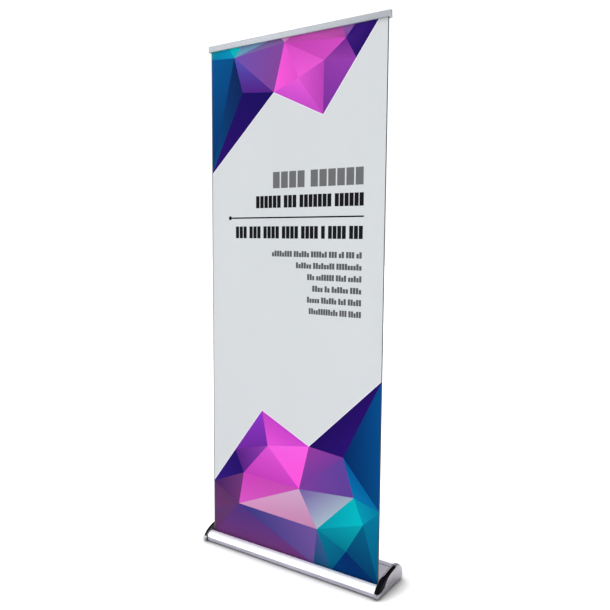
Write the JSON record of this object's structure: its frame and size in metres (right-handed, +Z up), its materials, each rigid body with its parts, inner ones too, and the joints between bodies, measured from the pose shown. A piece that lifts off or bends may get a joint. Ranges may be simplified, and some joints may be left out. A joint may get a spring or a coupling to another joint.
{
  "type": "roll-up banner stand",
  "caption": "Free-standing roll-up banner stand: wide teardrop base with a sprung roller, telescopic pole behind the banner and a clamping top rail.",
  "frame": {"origin": "on the floor under the middle of the base, at the centre of the object's footprint", "axes": "+X along the banner to the right as seen from its printed front, -Y is the printed front, +Z up"},
  "size_m": [0.896, 0.216, 2.196],
  "materials": {
    "base_anodised": "satin anodised silver extrusion, fine die lines along its length",
    "front_polished": "polished bright silver tube",
    "chrome_cover": "bright chrome-plated moulding",
    "gloss_black_inlay": "piano-black gloss",
    "steel_hardware": "zinc-plated steel",
    "zinc_casting": "grey die casting",
    "rubber": "matt black",
    "pole_anodised": "satin anodised tube",
    "grey_plastic": "satin grey moulding",
    "rail_anodised": "satin anodised silver extrusion",
    "roller_steel": "galvanised tube",
    "printed_film": "matt printed banner film, pale grey ground with coloured facets",
    "mounting_tape": "double-sided tape",
    "black_plastic": "fine-textured black moulding"
  },
  "bodies": {
    "base": {"cassette_body": "base_anodised", "end_cover_left": "chrome_cover", "end_cover_right": "chrome_cover", "end_inlay_left": "gloss_black_inlay", "end_inlay_right": "gloss_black_inlay", "end_plate_left": "zinc_casting", "end_plate_right": "zinc_casting", "end_screw_left_1": "steel_hardware", "end_screw_left_2": "steel_hardware", "end_screw_left_3": "steel_hardware", "end_screw_left_4": "steel_hardware", "end_screw_right_1": "steel_hardware", "end_screw_right_2": "steel_hardware", "end_screw_right_3": "steel_hardware", "end_screw_right_4": "steel_hardware", "foot_pad_left_front": "rubber", "foot_pad_left_rear": "rubber", "foot_pad_right_front": "rubber", "foot_pad_right_rear": "rubber", "front_cover": "front_polished", "idle_axle": "zinc_casting", "pole_foot_plug": "black_plastic", "pole_socket": "black_plastic", "pole_tube_lower": "pole_anodised", "rear_profile": "base_anodised", "spring_arbor": "zinc_casting", "torsion_spring": "steel_hardware"},
    "roller": {"banner_wound": "printed_film", "mounting_tape": "mounting_tape", "roller_plug_left": "black_plastic", "roller_plug_right": "black_plastic", "roller_tube": "roller_steel"},
    "pole_mid": {"pole_glide_mid": "black_plastic", "pole_tube_mid": "pole_anodised"},
    "pole_top": {"banner_sheet": "printed_film", "grip_strip_back": "rubber", "pole_glide_top": "black_plastic", "pole_tip": "black_plastic", "pole_tube_top": "pole_anodised", "rail_back_profile": "rail_anodised", "rail_cap_left": "grey_plastic", "rail_cap_right": "grey_plastic", "rail_hook": "black_plastic"},
    "rail_jaw": {"grip_strip_front": "rubber", "rail_front_jaw": "rail_anodised"},
    "lock_lower": {"lock_collar_lower": "black_plastic"},
    "lock_upper": {"lock_collar_upper": "black_plastic"}
  },
  "joints": [
    {"name": "pole_extend", "type": "slide", "parent": "base", "child": "pole_top", "axis": [0, -0.0204, 0.9998], "range_m": [-1.24, 0.21], "deforming": ["banner_sheet"]},
    {"name": "pole_mid_slide", "type": "slide", "parent": "base", "child": "pole_mid", "axis": [0, -0.0204, 0.9998], "range_m": [-0.62, 0.105]},
    {"name": "roller_spin", "type": "hinge", "parent": "base", "child": "roller", "pos_m": [0, -0.04155, 0.033], "axis": [1, 0, 0], "range_deg": [-669, 3948]},
    {"name": "rail_jaw_open", "type": "hinge", "parent": "pole_top", "child": "rail_jaw", "pos_m": [0, -0.0565, 2.1908], "axis": [-1, 0, 0], "range_deg": [0, 60]},
    {"name": "lock_lower_twist", "type": "hinge", "parent": "base", "child": "lock_lower", "pos_m": [0, -0.01102, 0.84783], "axis": [0, -0.0204, 0.9998], "range_deg": [0, 90]},
    {"name": "lock_upper_twist", "type": "hinge", "parent": "pole_mid", "child": "lock_upper", "pos_m": [0, -0.02448, 1.50669], "axis": [0, -0.0204, 0.9998], "range_deg": [0, 90]}
  ],
  "couplings": [
    {"joint": "pole_mid_slide", "follows": "pole_extend", "ratio": 0.5},
    {"joint": "roller_spin", "follows": "pole_extend", "rad_per_m": -55.556}
  ]
}
